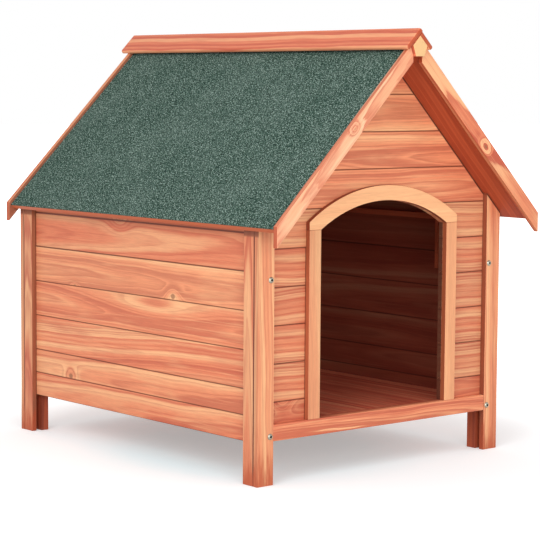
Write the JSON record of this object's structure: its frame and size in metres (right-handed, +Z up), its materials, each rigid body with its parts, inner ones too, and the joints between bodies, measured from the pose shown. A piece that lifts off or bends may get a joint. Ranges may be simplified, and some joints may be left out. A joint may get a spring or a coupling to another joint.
{
  "type": "wooden dog house",
  "caption": "Stained wooden dog house on legs, with tongue-and-groove walls, an arched doorway, a pitched green felt roof with a boxed ridge, and a lift-out floor in halves",
  "frame": {"origin": "on the ground under the middle of the whole outline", "axes": "+Z up, the doorway faces -Y, +X to the right of someone looking in at the doorway, the ridge runs along Y"},
  "size_m": [0.777, 1.015, 0.9518],
  "materials": {
    "stained_wood": "satin reddish stain over softwood grain",
    "pale_wood": "stained sides, bare pale end grain",
    "inner_wood": "matt reddish stain, unlit inside faces",
    "green_felt": "bitumen roofing felt with matt green mineral granules",
    "zinc_steel": "zinc-plated bolt heads"
  },
  "bodies": {
    "house": {"back_board_01": "stained_wood", "back_board_02": "stained_wood", "back_board_03": "stained_wood", "back_board_04": "stained_wood", "back_board_05": "stained_wood", "back_board_06": "stained_wood", "back_gable_boards": "stained_wood", "back_post_left": "stained_wood", "back_post_right": "stained_wood", "back_rail": "stained_wood", "corner_bolts": "zinc_steel", "corner_posts": "inner_wood", "door_arch": "stained_wood", "door_trim_left": "stained_wood", "door_trim_right": "stained_wood", "eave_rails": "inner_wood", "floor_bearers": "inner_wood", "front_board_01": "stained_wood", "front_board_02": "stained_wood", "front_board_03": "stained_wood", "front_board_04": "stained_wood", "front_board_05": "stained_wood", "front_board_06": "stained_wood", "front_board_07": "stained_wood", "front_board_08": "stained_wood", "front_board_09": "stained_wood", "front_board_10": "stained_wood", "front_post_left": "stained_wood", "front_post_right": "stained_wood", "front_rail": "stained_wood", "gable_battens": "inner_wood", "left_board_1": "stained_wood", "left_board_2": "stained_wood", "left_board_3": "stained_wood", "left_board_4": "stained_wood", "left_board_5": "stained_wood", "left_board_6": "stained_wood", "left_leg_back": "stained_wood", "left_leg_front": "stained_wood", "rake_back_left": "stained_wood", "rake_back_right": "stained_wood", "rake_front_left": "stained_wood", "rake_front_right": "stained_wood", "ridge_beam": "pale_wood", "ridge_cap_left": "stained_wood", "ridge_cap_right": "stained_wood", "right_board_1": "stained_wood", "right_board_2": "stained_wood", "right_board_3": "stained_wood", "right_board_4": "stained_wood", "right_board_5": "stained_wood", "right_board_6": "stained_wood", "right_leg_back": "stained_wood", "right_leg_front": "stained_wood", "roof_felt_left": "green_felt", "roof_felt_right": "green_felt", "roof_sheet_left": "stained_wood", "roof_sheet_right": "stained_wood"},
    "left_floor_half": {"floor_left": "inner_wood"},
    "right_floor_half": {"floor_right": "inner_wood"}
  },
  "joints": [
    {"name": "left_floor_lift", "type": "slide", "parent": "house", "child": "left_floor_half", "axis": [0, 0, 1], "range_m": [0, 0.25]},
    {"name": "right_floor_lift", "type": "slide", "parent": "house", "child": "right_floor_half", "axis": [0, 0, 1], "range_m": [0, 0.25]}
  ]
}
